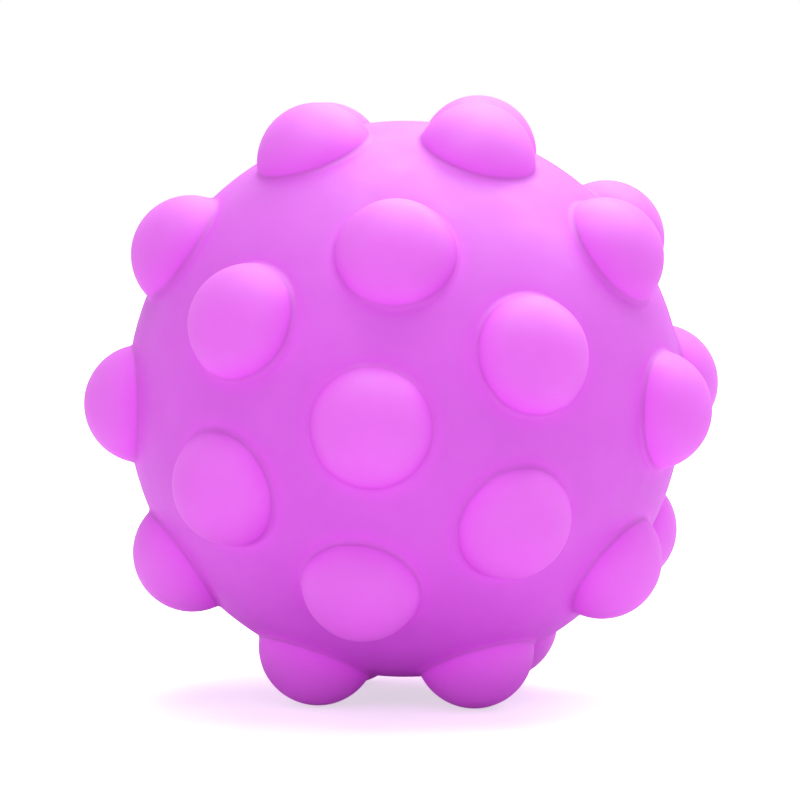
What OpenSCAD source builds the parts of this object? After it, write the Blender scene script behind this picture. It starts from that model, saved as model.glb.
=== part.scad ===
// Hollow silicone sensory ball whose round bubbles press inside out.
// Two like mouldings are bonded rim to rim. Each one carries a centre bubble,
// an inner ring and an outer ring of bubbles. All lengths are in millimetres.
// The ball stands on its lowest bubbles at z = 0, with its front pole towards -Y.

/* [Ball] */
// Diameter of the round body, without the bubbles
body_d = 65; // [58:1:80]
// Thickness of the body's wall
shell_wall = 4; // [3:0.25:5]

/* [Bubbles] */
// Diameter of the sphere that each bubble is part of
bubble_d = 13.8; // [12:0.2:14.6]
// Height of a bubble's tip above the round body
bubble_rise = 5.15; // [4.4:0.05:5.8]
// Thickness of a bubble's wall
bubble_wall = 1.3; // [1:0.05:1.6]
// Radius of the cove where a bubble meets the body
root_cove_r = 0.7; // [0.4:0.05:1]
// How far a crown reaches down inside its collar
crown_skirt = 1.4; // [0.8:0.1:1.8]
// Running gap between a crown and its collar, on the radius
crown_gap = 0.15; // [0.1:0.05:0.3]
// Width of the flat land on top of a collar
collar_land = 0.2; // [0.15:0.05:0.4]

/* [Layout] */
// Bubbles in the inner ring of each half
inner_count = 6; // [4:1:6]
// Angle from the pole to the inner ring
inner_angle = 35.7; // [35:0.1:37]
// Bubbles in the outer ring of each half
outer_count = 10; // [8:1:10]
// Angle from the pole to the outer ring
outer_angle = 73; // [72:0.25:73.5]

/* [Seam] */
// Thickness of the adhesive film between the two halves
bond_film = 0.3; // [0.15:0.05:0.5]
// Chamfer on the outer edge of each half's rim
rim_chamfer = 0.5; // [0.3:0.05:0.8]
// Depth from the round body down to the adhesive in the chamfered groove
bond_recess = 0.2; // [0.1:0.05:0.25]
// Angle by which the rear half is bonded out of line with the front half
bond_twist = 2.8; // [0:0.1:5]

/* [Hidden] */
// Overrun of every cut and of every piece that sinks into another
over = 0.2;
// Straight steps that stand for the arc of a cove
cove_steps = 5;
$fn = 96;

// The body and its hollow
body_r = body_d / 2;
hollow_r = body_r - shell_wall;

// A bubble, measured along its own axis from the ball's centre
bubble_r = bubble_d / 2;
bubble_c = body_r + bubble_rise - bubble_r;
bore_r = bubble_r - bubble_wall;
crown_r = bore_r - crown_gap;
// Height of the collar's flat land over the bubble's centre
collar_top = sqrt(pow(bubble_r, 2) - pow(bore_r + collar_land, 2));
crown_foot = collar_top - crown_skirt;
// Distance from the ball's centre to where the bore leaves the hollow
bore_foot = sqrt(pow(hollow_r, 2) - pow(bore_r, 2));

// The cove's arc touches both the body's sphere and the bubble's sphere
cove_s = (pow(body_r + root_cove_r, 2) - pow(bubble_r + root_cove_r, 2) + pow(bubble_c, 2)) / (2 * bubble_c);
cove_x = sqrt(pow(body_r + root_cove_r, 2) - pow(cove_s, 2));
// Directions from the arc's centre to where it leaves the body and the bubble
cove_from = 180 + atan2(cove_s, cove_x);
cove_to = 180 + atan2(cove_s - bubble_c, cove_x);

// Each half is turned about its pole until two of its bubbles straddle the bottom
outer_step = 360 / outer_count;
half_turn_start = -90 + 1.5 * outer_step;
// With the twist one rear bubble is lowest, so the ball leans until it stands on three
low_front = cos(outer_step / 2);
low_rear = cos(outer_step / 2 - bond_twist);
lean = atan(tan(outer_angle) * (low_rear - low_front) / 2);
ball_h = bubble_c * (sin(outer_angle) * low_front * cos(lean) + cos(outer_angle) * sin(lean)) + bubble_r;

SIDES = ["front", "rear"];

// Leans the ball as it stands and lifts it onto the ground
module stand() {
    translate([0, 0, ball_h]) rotate([lean, 0, 0]) children();
}

// Takes a moulding made with its pole up to its own side of the ball
module place_half(side) {
    stand()
        rotate([0, side == "rear" ? -bond_twist : 0, 0])
            rotate([90, 0, side == "rear" ? 180 : 0])
                rotate([0, 0, half_turn_start])
                    children();
}

// Turns a bubble's axis away from the pole, with its origin at the ball's centre
module aim(angle, turn) {
    rotate([0, angle, turn]) children();
}

// Every bubble of one moulding
module each_bubble() {
    aim(0, 0) children();
    for (i = [1:inner_count]) aim(inner_angle, (i - 1) * 360 / inner_count) children();
    for (i = [1:outer_count]) aim(outer_angle, (i - 1) * outer_step) children();
}

// A bubble's outside, as part of a sphere, with the cove round its root
module bubble_outside() {
    translate([0, 0, bubble_c]) sphere(r = bubble_r);
    rotate_extrude() polygon(concat(
        [[cove_x - root_cove_r, cove_s - root_cove_r - over]],
        [[cove_x + (root_cove_r + over) * cos(cove_from), cove_s + (root_cove_r + over) * sin(cove_from)]],
        [for (i = [0:cove_steps]) let (a = cove_from + (cove_to - cove_from) * i / cove_steps)
            [cove_x + root_cove_r * cos(a), cove_s + root_cove_r * sin(a)]],
        [[cove_x + (root_cove_r + over) * cos(cove_to), cove_s + (root_cove_r + over) * sin(cove_to)]]
    ));
}

// The way through the wall that a crown travels in, with the flat land round its mouth
module bubble_bore() {
    translate([0, 0, bore_foot - over]) cylinder(r = bore_r, h = bubble_c + bubble_r - bore_foot);
    translate([0, 0, bubble_c + collar_top]) cylinder(r = bubble_r, h = bubble_r);
}

// The chamfer that runs round the outside of the rim
module rim_groove() {
    rotate_extrude() polygon([
        [body_r - rim_chamfer, bond_film / 2],
        [body_r + over, bond_film / 2 + rim_chamfer + over],
        [body_r + over, bond_film / 2 - over],
        [body_r - rim_chamfer, bond_film / 2 - over]
    ]);
}

// One moulding, pole up: half the body with the collars that its bubbles stand on
module half_shell() {
    color("orchid") difference() {
        union() {
            sphere(r = body_r);
            each_bubble() bubble_outside();
        }
        sphere(r = hollow_r);
        each_bubble() bubble_bore();
        rim_groove();
        translate([0, 0, bond_film / 2 - body_d]) cylinder(r = body_d, h = body_d);
    }
}

// The moving cap of a bubble, which presses into the hollow along its own axis
module crown() {
    color("violet") translate([0, 0, bubble_c]) difference() {
        intersection() {
            sphere(r = bubble_r);
            translate([0, 0, crown_foot]) cylinder(r = crown_r, h = bubble_r);
        }
        sphere(r = bore_r);
    }
}

// The adhesive between the two rims, which also fills part of the groove
module seam_bond() {
    groove_r = body_r - rim_chamfer;
    face_r = body_r - bond_recess;
    half_face = bond_film / 2 + rim_chamfer - bond_recess;
    color("plum") stand() rotate([90, 0, 0]) rotate_extrude() polygon([
        [hollow_r, -bond_film / 2],
        [groove_r, -bond_film / 2],
        [face_r, -half_face],
        [face_r, half_face],
        [groove_r, bond_film / 2],
        [hollow_r, bond_film / 2]
    ]);
}

seam_bond();
for (side = SIDES) {
    place_half(side) half_shell();
    place_half(side) crown();
    for (i = [1:inner_count])
        place_half(side) aim(inner_angle, (i - 1) * 360 / inner_count) crown();
    for (i = [1:outer_count])
        place_half(side) aim(outer_angle, (i - 1) * outer_step) crown();
}
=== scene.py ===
# Hollow silicone sensory ball: dressed model, lights and camera.
# Every surface is built from the same named sizes as the solids, in metres.
import math

import bmesh
import bpy
import numpy as np
from mathutils import Matrix, Vector
from mathutils.geometry import delaunay_2d_cdt


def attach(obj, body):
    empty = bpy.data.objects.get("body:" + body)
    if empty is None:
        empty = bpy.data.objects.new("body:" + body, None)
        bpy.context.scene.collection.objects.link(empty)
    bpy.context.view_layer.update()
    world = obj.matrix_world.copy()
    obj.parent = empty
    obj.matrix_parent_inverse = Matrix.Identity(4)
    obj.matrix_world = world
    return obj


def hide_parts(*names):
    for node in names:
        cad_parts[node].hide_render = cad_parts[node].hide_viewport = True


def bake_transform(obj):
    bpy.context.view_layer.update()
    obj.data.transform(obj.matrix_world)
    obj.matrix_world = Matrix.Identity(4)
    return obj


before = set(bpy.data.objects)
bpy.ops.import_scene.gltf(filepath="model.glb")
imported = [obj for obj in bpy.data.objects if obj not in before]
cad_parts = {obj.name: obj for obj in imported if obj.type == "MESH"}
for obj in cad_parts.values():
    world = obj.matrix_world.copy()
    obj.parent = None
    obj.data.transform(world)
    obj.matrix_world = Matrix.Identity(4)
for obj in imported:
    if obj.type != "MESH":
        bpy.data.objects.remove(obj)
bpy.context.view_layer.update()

# Sizes of the ball, in metres and radians
MM = 0.001
BODY_R = 32.5 * MM
HOLLOW_R = 28.5 * MM
BUBBLE_R = 6.9 * MM
BUBBLE_RISE = 5.15 * MM
BUBBLE_C = BODY_R + BUBBLE_RISE - BUBBLE_R
TIP_Z = BUBBLE_C + BUBBLE_R
TRAVEL = 10.3 * MM
INNER_COUNT, INNER_ANGLE = 6, math.radians(35.7)
OUTER_COUNT, OUTER_ANGLE = 10, math.radians(73)
TWIST = math.radians(2.8)
HALF_FILM = 0.15 * MM
RIM_CHAMFER = 0.5 * MM

# The cove that rolls from the round body up into a bubble,
# as an arc about a point beside the bubble's axis
COVE_R = 0.85 * MM
COVE_S = ((BODY_R + COVE_R) ** 2 - (BUBBLE_R + COVE_R) ** 2 + BUBBLE_C ** 2) / (2 * BUBBLE_C)
COVE_X = math.sqrt((BODY_R + COVE_R) ** 2 - COVE_S ** 2)
COVE_LOW = math.pi + math.atan2(COVE_S, COVE_X)
COVE_HIGH = math.pi + math.atan2(COVE_S - BUBBLE_C, COVE_X)
BORE_R = COVE_X + COVE_R * math.cos(COVE_HIGH)
FOOT_Z = COVE_S + COVE_R * math.sin(COVE_HIGH)
FOOT_ANGLE = math.acos((FOOT_Z - BUBBLE_C) / BUBBLE_R)

# The stand: the ball leans a little so that three bubbles touch the floor
OUTER_STEP = 2 * math.pi / OUTER_COUNT
HALF_TURN = -math.pi / 2 + 1.5 * OUTER_STEP
LOW_FRONT = math.cos(OUTER_STEP / 2)
LOW_REAR = math.cos(OUTER_STEP / 2 - TWIST)
LEAN = math.atan(math.tan(OUTER_ANGLE) * (LOW_REAR - LOW_FRONT) / 2)
LOW_SHARE = math.sin(OUTER_ANGLE) * LOW_FRONT * math.cos(LEAN) + math.cos(OUTER_ANGLE) * math.sin(LEAN)
BALL_H = BUBBLE_C * LOW_SHARE + BUBBLE_R
STAND = Matrix.Translation((0, 0, BALL_H)) @ Matrix.Rotation(LEAN, 4, "X")
MID = Vector((0, 0, BALL_H))

# How finely the skins are meshed
COVE_AROUND, COVE_STEPS = 72, 7
DOME_AROUND, DOME_STEPS = 96, 26
SEAM_AROUND = 360
OUTSIDE_SPACING = 1.15 * MM
HOLLOW_SPACING = 2.2 * MM
SEAM_BAND = 0.35 * MM

# How far the even spread of points keeps from the seam, the rim, the coves and the bores
SEAM_CLEAR = 0.9 * MM
HOLLOW_CLEAR = 1.6 * MM
COVE_CLEAR_ANGLE = 0.058
BORE_CLEAR_ANGLE = 0.05

# What the triangulation gives, and how close two points are taken as one
WHOLE_HULL, SAME_POINT = 0, 1e-9

# The painted shade round a bubble, a deeper tone where shade falls in the crease: how far it climbs the
# dome, its shade and lean at both ends of the cove, and on the body rows of (angle past the cove, crease
# shade, lean)
SHADE_CLIMB_H = 3.4 * MM
SHADE_CLIMB_POWER = 1.5
COVE_TOP_SHADE, COVE_FOOT_SHADE = 1.0, 0.4
COVE_TOP_LEAN, COVE_FOOT_LEAN = 1.6, 1.0
COVE_FADE = ((0.010, 0.28, 0.7), (0.024, 0.12, 0.3), (0.044, 0.0, 0.0))
# Painted shade on the rim's soft corner, in the groove where the two halves meet
RIM_SHADE = 0.6

# The soft corner of the rim, as (depth below the round outside, height above the bonding face)
RIM_CORNER = (
    (0.10 * MM, 0.34 * MM),
    (0.27 * MM, 0.15 * MM),
    (RIM_CHAMFER, 0.0),
    (2 * MM, 0.0),
    (BODY_R - HOLLOW_R, 0.0),
)

# The underside of a dome: a bowl one wall's thickness below where the dome is
# once it has snapped inside out
BOWL_STEPS, BOWL_FIRST, BOWL_SHARE = 9, 1.2, 0.93
BOWL_WALL = 1.2 * MM
BOWL_MIDDLE_WALL = 1.3 * MM
BOWL_EDGE_GAP = 0.25 * MM
BOWL_TOP = BUBBLE_C - 0.2 * MM
BOWL_SIDE = ((0.992 * BUBBLE_R, BUBBLE_C + 0.35 * MM), (0.998 * BUBBLE_R, BUBBLE_C + 0.75 * MM))
ROLL_TOP = TIP_Z + 0.65 * MM

UPRIGHT = Matrix.Identity(4)
UP = Vector((0, 0, 1))
NO_LEAN = Vector((0, 0, 0))


def half_matrix(side):
    """Takes a moulding made with its pole up to its own side of the ball."""
    m = STAND
    if side == "rear":
        m = m @ Matrix.Rotation(-TWIST, 4, "Y") @ Matrix.Rotation(math.pi, 4, "Z")
    return m @ Matrix.Rotation(math.pi / 2, 4, "X") @ Matrix.Rotation(HALF_TURN, 4, "Z")


def bubble_places():
    """(name without its side, matrix in the moulding) of every bubble of one half."""
    places = [("centre_bubble", UPRIGHT)]
    rings = (("inner", INNER_COUNT, INNER_ANGLE), ("outer", OUTER_COUNT, OUTER_ANGLE))
    for ring_name, count, angle in rings:
        for i in range(count):
            turn = Matrix.Rotation(2 * math.pi * i / count, 4, "Z")
            places.append((f"{ring_name}_bubble_{i + 1}", turn @ Matrix.Rotation(angle, 4, "Y")))
    return places


PLACES = bubble_places()
AXES = np.array([place @ UP for _, place in PLACES], float)


def mixed(first, last, share):
    return first + (last - first) * share


class Skin:
    """The points and faces of one piece, built in its moulding's frame with the pole up. Every point
    has a crease shade, from 0 to 1, the deeper tone painted as shade in the creases, and a lean, the way
    that light soaking through the thin silicone tips its shading. A body's points have normals of their
    own too."""

    def __init__(self):
        self.points, self.normals, self.crease, self.lean, self.faces = [], [], [], [], []

    def add(self, points, crease=0.0, lean=NO_LEAN, normals=()):
        """Adds points of one painted crease shade and lean, and gives their numbers."""
        first = len(self.points)
        self.points += points
        self.normals += normals
        self.crease += [crease] * len(points)
        self.lean += [lean] * len(points)
        return list(range(first, len(self.points)))

    def band(self, low, high):
        """Joins two rings of the same count."""
        for k in range(len(low)):
            n = (k + 1) % len(low)
            self.faces.append([low[k], low[n], high[n], high[k]])

    def to_object(self, name, matrix):
        """The Blender object, moved by matrix."""
        mesh = bpy.data.meshes.new(name)
        mesh.from_pydata([tuple(matrix @ v) for v in self.points], [], self.faces)
        mesh.validate()
        layer = mesh.attributes.new("crease", "FLOAT", "POINT")
        layer.data.foreach_set("value", np.asarray(self.crease, np.float32))
        layer = mesh.attributes.new("lean", "FLOAT_VECTOR", "POINT")
        turned = np.asarray(self.lean, np.float32) @ np.asarray(matrix.to_3x3(), np.float32).T
        layer.data.foreach_set("vector", turned.ravel())
        mesh.shade_smooth()
        mesh.update()
        obj = bpy.data.objects.new(name, mesh)
        bpy.context.scene.collection.objects.link(obj)
        return obj


def ring(place, radius, height, count):
    """The points of a ring round the axis that place gives."""
    turns = [2 * math.pi * k / count for k in range(count)]
    return [place @ Vector((radius * math.cos(a), radius * math.sin(a), height)) for a in turns]


def outward(points):
    return [p.normalized() for p in points]


def even_points(spacing, radius):
    """Directions spread evenly over the half ball above the rim, about spacing apart on the radius."""
    count = int(4 * math.pi * radius ** 2 / (0.5 * math.sqrt(3) * spacing ** 2))
    i = np.arange(count) + 0.5
    z = 1 - 2 * i / count
    turn = math.pi * (1 + math.sqrt(5)) * i
    across = np.sqrt(1 - z * z)
    unit = np.stack([across * np.cos(turn), across * np.sin(turn), z], 1)
    return unit[z > 0]


def between(unit, radius, hole_angle, lowest):
    """The points of an even spread that keep clear of every bubble and of the rim."""
    clear = [u for u in unit if (AXES @ u).max() <= math.cos(hole_angle) and u[2] * radius >= lowest]
    return [Vector(u * radius) for u in clear]


def sphere_cap(points, loops):
    """Triangulates points on a half ball, pole up. loops are the lists of point numbers that bound it:
    the edge of every hole, and the rim. A triangle with all its corners on one loop would fill it, and
    is left out."""
    pts = np.asarray([tuple(p) for p in points], float)
    unit = pts / np.linalg.norm(pts, axis=1)[:, None]
    flat = unit[:, :2] / (1 + unit[:, 2:3])
    edges = [(loop[i], loop[(i + 1) % len(loop)]) for loop in loops for i in range(len(loop))]
    found = delaunay_2d_cdt([Vector(p) for p in flat], edges, [], WHOLE_HULL, SAME_POINT)
    _, _, triangles, origins, _, _ = found
    loop_of = {i: n for n, loop in enumerate(loops) for i in loop}
    faces = []
    for triangle in triangles:
        ids = [origins[i][0] for i in triangle]
        first = loop_of.get(ids[0])
        if first is not None and all(loop_of.get(i) == first for i in ids):
            continue
        a, b, c = pts[ids]
        if np.cross(b - a, c - a) @ (a + b + c) < 0:
            ids.reverse()
        faces.append(ids)
    return faces


def add_coves(skin):
    """Rolls the round body up to every bubble, and gives the top ring of each cove."""
    tops = []
    foot_r = COVE_X + COVE_R * math.cos(COVE_LOW)
    edge_angle = math.atan2(foot_r, COVE_S + COVE_R * math.sin(COVE_LOW))
    for _, place in PLACES:
        axis = place @ UP
        for k in range(COVE_STEPS + 1):
            share = k / COVE_STEPS
            a = mixed(COVE_HIGH, COVE_LOW, share)
            radius = COVE_X + COVE_R * math.cos(a)
            points = ring(place, radius, COVE_S + COVE_R * math.sin(a), COVE_AROUND)
            middles = ring(place, COVE_X, COVE_S, COVE_AROUND)
            normals = [(m - p).normalized() for m, p in zip(middles, points)]
            # Painted shade: the deeper crease tone is strongest where the cove meets the bubble, and
            # fades onto the body
            crease = mixed(COVE_TOP_SHADE, COVE_FOOT_SHADE, share)
            lean = mixed(COVE_TOP_LEAN, COVE_FOOT_LEAN, share)
            numbers = skin.add(points, crease, axis * lean, normals)
            if k == 0:
                tops.append(numbers)
        for beyond, crease, lean in COVE_FADE:
            a = edge_angle + beyond
            points = ring(place, BODY_R * math.sin(a), BODY_R * math.cos(a), COVE_AROUND)
            skin.add(points, crease, axis * lean, outward(points))
    return tops, edge_angle


def add_rim(skin, edge):
    """A soft corner down to the flat bonding face, then across it to the hollow. Gives the last ring."""
    for depth, height in RIM_CORNER:
        points = ring(UPRIGHT, BODY_R - depth, HALF_FILM + height, SEAM_AROUND)
        # Painted shade along the rim's soft corner, in the groove between the halves
        numbers = skin.add(points, RIM_SHADE, normals=outward(points))
        skin.band(numbers, edge)
        edge = numbers
    return edge


def add_hollow(skin, edge, tops):
    """The hollow's surface, which shares the rim's last ring, and each bore's wall up to its cove."""
    foot = math.sqrt(HOLLOW_R ** 2 - BORE_R ** 2)
    points, loops = [], []
    for _, place in PLACES:
        loops.append(list(range(len(points), len(points) + COVE_AROUND)))
        points += ring(place, BORE_R, foot, COVE_AROUND)
    rim_first = len(points)
    loops.append(list(range(rim_first, rim_first + SEAM_AROUND)))
    points += ring(UPRIGHT, HOLLOW_R, HALF_FILM, SEAM_AROUND)
    spread = even_points(HOLLOW_SPACING, HOLLOW_R)
    points += between(spread, HOLLOW_R, math.atan2(BORE_R, foot) + BORE_CLEAR_ANGLE, HOLLOW_CLEAR)
    inward = [-n for n in outward(points)]
    rest = rim_first + SEAM_AROUND
    numbers = skin.add(points[:rim_first], normals=inward[:rim_first]) + edge
    numbers += skin.add(points[rest:], normals=inward[rest:])
    skin.faces += [[numbers[i] for i in reversed(f)] for f in sphere_cap(points, loops)]
    for top, loop in zip(tops, loops):
        skin.band(top, [numbers[i] for i in loop])


def body_skin(side):
    """One moulding's skin: the round outside with its coves, the rim, the bores and the hollow."""
    skin = Skin()
    tops, edge_angle = add_coves(skin)
    seam_z = HALF_FILM + RIM_CHAMFER
    seam_rings = []
    for z in (seam_z, seam_z + SEAM_BAND):
        points = ring(UPRIGHT, math.sqrt(BODY_R ** 2 - z ** 2), z, SEAM_AROUND)
        seam_rings.append(skin.add(points, normals=outward(points)))
    spread = even_points(OUTSIDE_SPACING, BODY_R)
    points = between(spread, BODY_R, edge_angle + COVE_CLEAR_ANGLE, seam_z + SEAM_CLEAR)
    skin.add(points, normals=outward(points))
    skin.faces += sphere_cap(skin.points, tops + [seam_rings[0]])
    add_hollow(skin, add_rim(skin, seam_rings[0]), tops)
    m = half_matrix(side)
    obj = skin.to_object(f"{side}_body_skin", m)
    turn = m.to_3x3()
    obj.data.normals_split_custom_set_from_vertices([(turn @ n).normalized() for n in skin.normals])
    return obj


def snapped(z):
    """Where a height on a bubble's axis goes when the bubble is pressed fully in."""
    t = min(max((z - FOOT_Z) / (ROLL_TOP - FOOT_Z), 0.0), 1.0)
    return z - TRAVEL * t * t * (3 - 2 * t)


def bubble_profile():
    """(radius, height) of each ring of a bubble, from the middle of its bowl out and over to its tip."""
    rings = []
    for k in range(BOWL_STEPS):
        a = FOOT_ANGLE * BOWL_SHARE * (k + BOWL_FIRST) / BOWL_STEPS
        z = snapped(BUBBLE_C + BUBBLE_R * math.cos(a)) - BOWL_WALL
        rings.append((BUBBLE_R * math.sin(a) - BOWL_EDGE_GAP, min(z, BOWL_TOP)))
    rings += BOWL_SIDE
    for k in range(DOME_STEPS):
        a = FOOT_ANGLE * (1 - k / DOME_STEPS)
        rings.append((BUBBLE_R * math.sin(a), BUBBLE_C + BUBBLE_R * math.cos(a)))
    return rings


def bubble_skin(side, name, place):
    """One bubble: a dome whose edge is tucked into the bore, closed below by its bowl. Gives the object
    and the two points between which its wall rolls."""
    skin = Skin()
    axis = place @ UP
    bowl_middle = place @ Vector((0, 0, snapped(TIP_Z) - BOWL_MIDDLE_WALL))
    middle = skin.add([bowl_middle], 0.0, axis)[0]
    last = None
    for radius, z in bubble_profile():
        # Painted shade: the deeper crease tone fades as the dome climbs from its foot
        climb = min(max((z - FOOT_Z) / SHADE_CLIMB_H, 0.0), 1.0)
        points = ring(place, radius, z, DOME_AROUND)
        numbers = skin.add(points, (1 - climb) ** SHADE_CLIMB_POWER, axis)
        if last:
            skin.band(last, numbers)
        else:
            skin.faces += [[middle, numbers[k], numbers[k - 1]] for k in range(DOME_AROUND)]
        last = numbers
    tip = skin.add([place @ Vector((0, 0, TIP_Z))], 0.0, axis)[0]
    skin.faces += [[last[k - 1], last[k], tip] for k in range(DOME_AROUND)]
    m = half_matrix(side)
    obj = skin.to_object(f"{side}_{name}_skin", m)
    return obj, m @ place @ Vector((0, 0, FOOT_Z)), m @ place @ Vector((0, 0, ROLL_TOP))


# Materials

# The sockets of a Mix node for colours
FACTOR, COLOUR_A, COLOUR_B, COLOUR_OUT = 0, 6, 7, 2

# The patterns in the silicone, as (lumps to the metre, detail)
PIGMENT_CLOUDS = (90, 3)
HAZE_CLOUDS = (260, 4)
MOULD_WAVES = (320, 2)
MOULD_GRAIN = (5200, 2)

# How hard the clouds are, and between which of their strengths they take hold
PIGMENT_HARDNESS = 0.55
PIGMENT_LEVELS = (0.32, 0.70)
HAZE_FROM, HAZE_TO = 0.3, 0.7

# How much smoother and duller the haze makes the surface
HAZE_SMOOTHER, HAZE_DULLER = 0.04, 0.05

# The share of the painted shade's deeper tone in a full crease, and how far the shading leans
CREASE_SHADE_SHARE = 0.8
SOAK = 0.2

# Strength and height of the bumps
WAVE_STRENGTH, WAVE_HEIGHT = 0.14, 0.2 * MM
GRAIN_STRENGTH, GRAIN_HEIGHT = 0.12, 0.03 * MM


def srgb(r, g, b):
    """A colour as it looks on a screen, from 0 to 255, as Blender's linear colour."""
    shares = [c / 255 for c in (r, g, b)]
    return (*(c / 12.92 if c <= 0.04045 else ((c + 0.055) / 1.055) ** 2.4 for c in shares), 1.0)


def add_node(tree, kind, values=None, linked=None, operation=None):
    """A new node with some inputs set to values and some linked from other nodes' outputs."""
    node = tree.nodes.new(kind)
    if operation:
        node.operation = operation
    for key, value in (values or {}).items():
        node.inputs[key].default_value = value
    for key, output in (linked or {}).items():
        tree.links.new(output, node.inputs[key])
    return node


def noise(tree, coord, scale, detail, roughness=0.5):
    """The strength of a noise pattern with about scale lumps to the metre."""
    values = {"Scale": scale, "Detail": detail, "Roughness": roughness}
    return add_node(tree, "ShaderNodeTexNoise", values, {"Vector": coord}).outputs["Fac"]


def bump(tree, height, normal, strength, distance):
    values = {"Strength": strength, "Distance": distance}
    linked = {"Height": height, "Normal": normal}
    return add_node(tree, "ShaderNodeBump", values, linked).outputs["Normal"]


def empty_tree(owner):
    owner.use_nodes = True
    owner.node_tree.nodes.clear()
    return owner.node_tree


def silicone_colour(tree, coord, base, other, painted_shade):
    """Faint mottling in the pigment, and a deeper tone painted as shade in the creases."""
    clouds = noise(tree, coord, *PIGMENT_CLOUDS, PIGMENT_HARDNESS)
    ramp = add_node(tree, "ShaderNodeValToRGB", linked={"Fac": clouds})
    for element, position, colour in zip(ramp.color_ramp.elements, PIGMENT_LEVELS, (base, other)):
        element.position = position
        element.color = colour
    crease = add_node(tree, "ShaderNodeAttribute")
    crease.attribute_name = "crease"
    share = add_node(tree, "ShaderNodeMath", {1: CREASE_SHADE_SHARE}, {0: crease.outputs["Fac"]}, "MULTIPLY")
    mix = tree.nodes.new("ShaderNodeMix")
    mix.data_type = "RGBA"
    mix.inputs[COLOUR_B].default_value = painted_shade
    tree.links.new(share.outputs[0], mix.inputs[FACTOR])
    tree.links.new(ramp.outputs["Color"], mix.inputs[COLOUR_A])
    return mix.outputs[COLOUR_OUT]


def silicone_normal(tree, coord):
    """Light soaks through the thin domes and evens out their shading, so the normal leans as the mesh
    says. On it are the slight waves of a soft moulding and the fine grain of its mould."""
    lean = add_node(tree, "ShaderNodeAttribute")
    lean.attribute_name = "lean"
    surface = add_node(tree, "ShaderNodeNewGeometry")
    linked = {0: lean.outputs["Vector"], 2: surface.outputs["Normal"]}
    leaned_or_floor_glow = add_node(tree, "ShaderNodeVectorMath", {1: (SOAK, SOAK, SOAK)}, linked, "MULTIPLY_ADD")
    level = add_node(tree, "ShaderNodeVectorMath", None, {0: leaned_or_floor_glow.outputs["Vector"]}, "NORMALIZE")
    waves = noise(tree, coord, *MOULD_WAVES)
    waved = bump(tree, waves, level.outputs["Vector"], WAVE_STRENGTH, WAVE_HEIGHT)
    return bump(tree, noise(tree, coord, *MOULD_GRAIN), waved, GRAIN_STRENGTH, GRAIN_HEIGHT)


def silicone(name, base, other, painted_shade, rough):
    """Soft satin silicone with a little light scattered under its surface."""
    mat = bpy.data.materials.new(name)
    tree = empty_tree(mat)
    coord = add_node(tree, "ShaderNodeTexCoord").outputs["Object"]
    haze_range = {
        "From Min": HAZE_FROM,
        "From Max": HAZE_TO,
        "To Min": rough - HAZE_SMOOTHER,
        "To Max": rough + HAZE_DULLER,
    }
    clouds = noise(tree, coord, *HAZE_CLOUDS)
    haze = add_node(tree, "ShaderNodeMapRange", haze_range, {"Value": clouds})
    constants = {
        "IOR": 1.5,
        "Specular IOR Level": 1.0,
        "Subsurface Weight": 0.35,
        "Subsurface Radius": (1.0, 0.35, 0.9),
        "Subsurface Scale": 2.2 * MM,
    }
    linked = {
        "Base Color": silicone_colour(tree, coord, base, other, painted_shade),
        "Roughness": haze.outputs["Result"],
        "Normal": silicone_normal(tree, coord),
    }
    shader = add_node(tree, "ShaderNodeBsdfPrincipled", constants, linked)
    add_node(tree, "ShaderNodeOutputMaterial", linked={"Surface": shader.outputs["BSDF"]})
    return mat


# Each finish: its two mottled tones, its deeper tone of painted crease shade, and its roughness
BODY_TONES = srgb(206, 85, 217), srgb(211, 89, 221), srgb(234, 81, 242)
# The bubbles' tones are lighter than the body's: painted light, for the light that soaks through their
# thin walls
BUBBLE_LIT_TONES = srgb(219, 100, 226), srgb(224, 105, 231), srgb(230, 74, 239)
BOND_TONES = srgb(198, 79, 211), srgb(205, 86, 218), srgb(190, 67, 204)
BODY_MAT = silicone("soft_body_silicone", *BODY_TONES, 0.60)
BUBBLE_MAT = silicone("soft_bubble_silicone", *BUBBLE_LIT_TONES, 0.60)
BOND_MAT = silicone("soft_seam_adhesive", *BOND_TONES, 0.50)


def build_ball():
    """Dresses both mouldings and every bubble, and gives the seam its finish."""
    for side in ("front", "rear"):
        skin = body_skin(side)
        skin.data.materials.append(BODY_MAT)
        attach(skin, "ball")
        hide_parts(f"{side}_half_shell")
        for name, place in PLACES:
            dome, start, end = bubble_skin(side, name, place)
            dome.data.materials.append(BUBBLE_MAT)
            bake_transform(dome)
            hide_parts(f"{side}_{name}")
    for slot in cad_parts["seam_bond"].material_slots:
        slot.material = BOND_MAT


build_ball()

# Floor and background
WHITE = (1.0, 1.0, 1.0, 1.0)
PALE_FLOOR = (0.86, 0.86, 0.87, 1.0)
# What the ball gets back from the floor: its own pink light, and a faint painted pink glow that lifts
# its underside
FLOOR_BOUNCE = (0.84, 0.62, 0.84, 1.0)
FLOOR_GLOW_TINT = (0.90, 0.30, 0.90, 1.0)
FLOOR_GLOW_STRENGTH = 0.07
# The fill, which comes from all round
FILL = (0.96, 0.95, 1.0, 1.0)
FILL_STRENGTH = 0.31
# The floor: half its width, its cells each way, and how far it lies below the ball
FLOOR_HALF, FLOOR_CELLS = 6.0, 4
FLOOR_DROP = 0.05 * MM
# Between which distances the floor brightens to white, and from which glow to which
GLOW_FROM, GLOW_TO = 0.1, 1.0
GLOW_NEAR, GLOW_FAR = 0.58, 0.80


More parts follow.
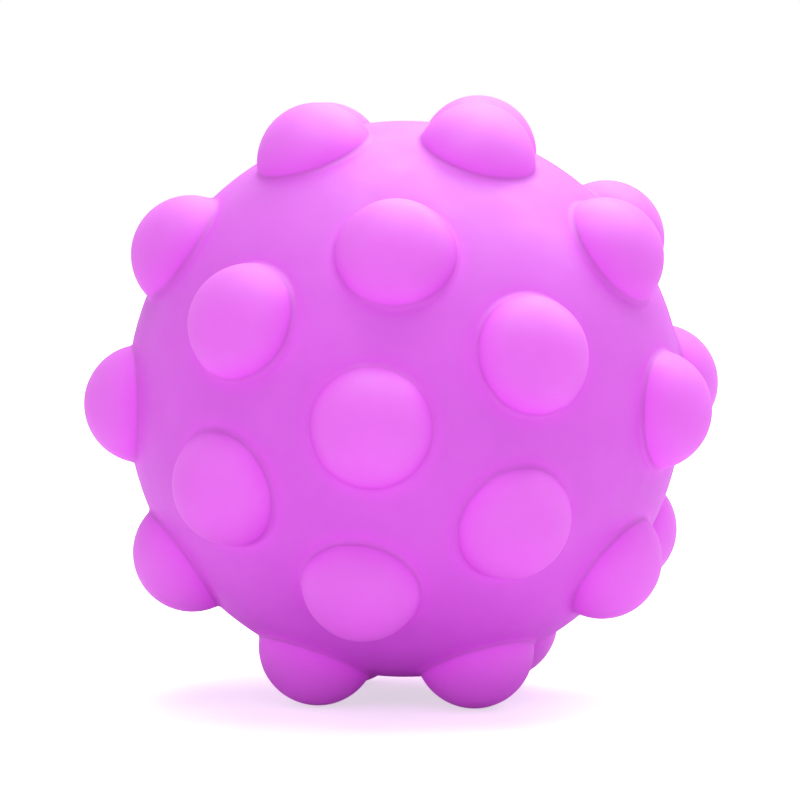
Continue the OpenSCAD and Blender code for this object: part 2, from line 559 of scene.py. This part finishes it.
def seen_directly(tree, path):
    """1 where the camera sees a surface, straight, in a reflection or through glass, and 0 for the
    light that it gives."""
    seen = path.outputs["Is Camera Ray"]
    for kind in ("Is Glossy Ray", "Is Transmission Ray"):
        either = {0: seen, 1: path.outputs[kind]}
        seen = add_node(tree, "ShaderNodeMath", None, either, "MAXIMUM").outputs[0]
    return seen


def mix_shaders(tree, factor, first, second):
    return add_node(tree, "ShaderNodeMixShader", linked={0: factor, 1: first, 2: second}).outputs[0]


def add_shaders(tree, first, second):
    return add_node(tree, "ShaderNodeAddShader", linked={0: first, 1: second}).outputs[0]


def diffuse(tree, colour):
    return add_node(tree, "ShaderNodeBsdfDiffuse", {"Color": colour}).outputs[0]


def floor_material():
    """A pale floor that keeps the ball's shadow and brightens to the white background further off. It
    gives the ball its own pink light back, with a faint painted pink glow that lifts its underside."""
    mat = bpy.data.materials.new("studio_floor")
    tree = empty_tree(mat)
    path = add_node(tree, "ShaderNodeLightPath")
    coord = add_node(tree, "ShaderNodeTexCoord")
    far = add_node(tree, "ShaderNodeVectorMath", None, {0: coord.outputs["Object"]}, "LENGTH")
    reach_range = {
        "From Min": GLOW_FROM,
        "From Max": GLOW_TO,
        "To Min": GLOW_NEAR,
        "To Max": GLOW_FAR,
    }
    reach = add_node(tree, "ShaderNodeMapRange", reach_range, {"Value": far.outputs["Value"]})
    reach.interpolation_type = "SMOOTHSTEP"
    glow = add_node(tree, "ShaderNodeEmission", {"Color": WHITE}, {"Strength": reach.outputs["Result"]})
    pale = diffuse(tree, PALE_FLOOR)
    lit = add_shaders(tree, pale, glow.outputs[0])
    shown = mix_shaders(tree, path.outputs["Is Glossy Ray"], lit, pale)
    # Painted light: a faint pink glow that the camera never sees, lighting the ball's underside
    floor_glow_values = {"Color": FLOOR_GLOW_TINT, "Strength": FLOOR_GLOW_STRENGTH}
    leaned_or_floor_glow = add_node(tree, "ShaderNodeEmission", floor_glow_values)
    bounce = add_shaders(tree, diffuse(tree, FLOOR_BOUNCE), leaned_or_floor_glow.outputs[0])
    surface = mix_shaders(tree, seen_directly(tree, path), bounce, shown)
    add_node(tree, "ShaderNodeOutputMaterial", linked={"Surface": surface})
    return mat


def build_floor():
    bm = bmesh.new()
    bmesh.ops.create_grid(bm, x_segments=FLOOR_CELLS, y_segments=FLOOR_CELLS, size=FLOOR_HALF)
    mesh = bpy.data.meshes.new("studio_floor")
    bm.to_mesh(mesh)
    bm.free()
    mesh.materials.append(floor_material())
    floor = bpy.data.objects.new("studio_floor", mesh)
    floor.location = (0, 0, -FLOOR_DROP)
    bpy.context.scene.collection.objects.link(floor)


def build_world():
    """White where the camera sees it, and a low even fill everywhere else."""
    world = bpy.data.worlds.new("studio")
    bpy.context.scene.world = world
    tree = empty_tree(world)
    path = add_node(tree, "ShaderNodeLightPath")
    fill = add_node(tree, "ShaderNodeBackground", {"Color": FILL, "Strength": FILL_STRENGTH})
    white = add_node(tree, "ShaderNodeBackground", {"Color": WHITE, "Strength": 1.0})
    surface = mix_shaders(tree, seen_directly(tree, path), fill.outputs[0], white.outputs[0])
    add_node(tree, "ShaderNodeOutputWorld", linked={"Surface": surface})


# Lights: name, azimuth, elevation, distance, width, height, power, and whether it shows in gloss.
# Azimuth 0 is the camera's side, and 90 is +X.
LIGHTS = (
    ("top_softbox", 0, 85, 0.9, 0.62, 0.62, 4.35, True),
    ("right_softbox", 50, 48, 0.9, 0.50, 0.50, 0.31, True),
    ("left_softbox", -45, 45, 0.9, 0.60, 0.50, 0.36, True),
    ("back_softbox", 180, 55, 0.9, 0.53, 0.53, 4.00, True),
    ("back_right_softbox", 125, 52, 0.9, 0.50, 0.50, 3.50, True),
    ("front_strip", 4, 2.5, 1.0, 1.30, 0.10, 2.40, False),
    ("right_strip", 60, 2.5, 1.0, 0.60, 0.10, 0.77, False),
    ("left_strip", -55, 2.5, 1.0, 0.60, 0.10, 1.42, False),
)


def towards(azimuth, elevation):
    """The direction from the ball to a light or to the camera, from angles in radians."""
    level = math.cos(elevation)
    return Vector((math.sin(azimuth) * level, -math.cos(azimuth) * level, math.sin(elevation)))


def softbox(name, azimuth, elevation, distance, wide, tall, power, shine):
    """A rectangular soft light aimed at the ball."""
    data = bpy.data.lights.new(name, "AREA")
    data.shape = "RECTANGLE"
    data.size, data.size_y = wide, tall
    data.energy = power
    obj = bpy.data.objects.new(name, data)
    obj.location = MID + distance * towards(math.radians(azimuth), math.radians(elevation))
    obj.rotation_euler = (MID - obj.location).to_track_quat("-Z", "Y").to_euler()
    obj.visible_glossy = shine
    bpy.context.scene.collection.objects.link(obj)


build_floor()
build_world()
for light in LIGHTS:
    softbox(*light)

# The camera, as fitted to the photograph: its lens and shift in the photograph's pixels
PHOTO_PX = 800
LENS_PX = 4076.7
SHIFT_X_PX, SHIFT_Y_PX = -4.8, -1.16
SENSOR_MM = 36.0
AZIMUTH, ELEVATION = math.radians(6.52), math.radians(5.69)
DISTANCE = 477.6 * MM
CLIP_NEAR, CLIP_FAR = 0.01, 50


def build_camera():
    data = bpy.data.cameras.new("photo_camera")
    data.sensor_width = SENSOR_MM
    data.lens = LENS_PX / PHOTO_PX * SENSOR_MM
    data.shift_x = SHIFT_X_PX / PHOTO_PX
    data.shift_y = SHIFT_Y_PX / PHOTO_PX
    data.clip_start = CLIP_NEAR
    data.clip_end = CLIP_FAR
    camera = bpy.data.objects.new("photo_camera", data)
    back = towards(AZIMUTH, ELEVATION)
    aim = (-back).to_track_quat("-Z", "Y").to_matrix().to_4x4()
    camera.matrix_world = STAND @ Matrix.Translation(back * DISTANCE) @ aim
    bpy.context.scene.collection.objects.link(camera)
    bpy.context.scene.camera = camera


build_camera()
bpy.context.scene.view_settings.view_transform = "Standard"
